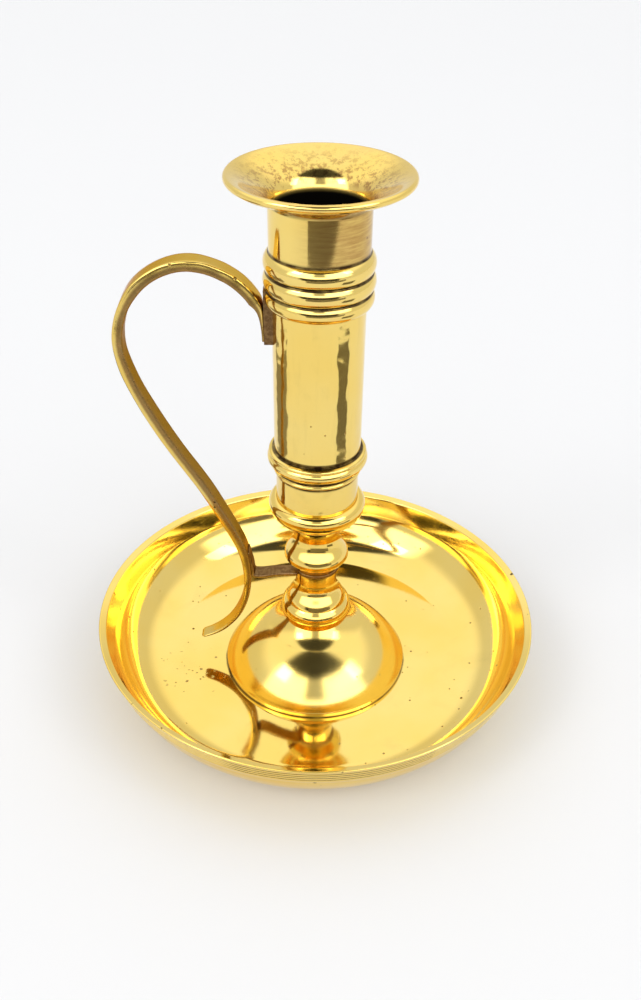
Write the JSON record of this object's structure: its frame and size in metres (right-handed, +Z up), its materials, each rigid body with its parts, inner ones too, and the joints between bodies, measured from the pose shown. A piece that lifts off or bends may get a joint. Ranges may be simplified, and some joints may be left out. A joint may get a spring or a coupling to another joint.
{
  "type": "chamber candlestick",
  "caption": "Brass chamber candlestick: turned stem with a flared candle nozzle, a round dished drip pan and an arched strap handle braced to the stem.",
  "frame": {"origin": "centre of the drip pan's flat base, on the turning axis", "axes": "+Z up the stem towards the candle, -X towards the strap handle, -Y towards the front"},
  "size_m": [0.14, 0.14, 0.1622],
  "materials": {
    "polished_brass": "polished, with fine turning marks and scattered pits",
    "tarnished_brass": "dull, with brown tarnish",
    "dark_brass": "unpolished, hidden fixings"
  },
  "bodies": {
    "root": {"drip_pan": "polished_brass", "foot_dome": "polished_brass", "lower_knop": "polished_brass", "upper_knop": "polished_brass", "column_cup": "polished_brass", "candle_tube": "polished_brass", "nozzle": "polished_brass", "handle_strap": "tarnished_brass", "handle_pad": "tarnished_brass", "handle_brace": "tarnished_brass", "tie_rod": "dark_brass", "base_washer": "dark_brass", "base_nut": "dark_brass", "socket_nut": "dark_brass"}
  },
  "joints": []
}
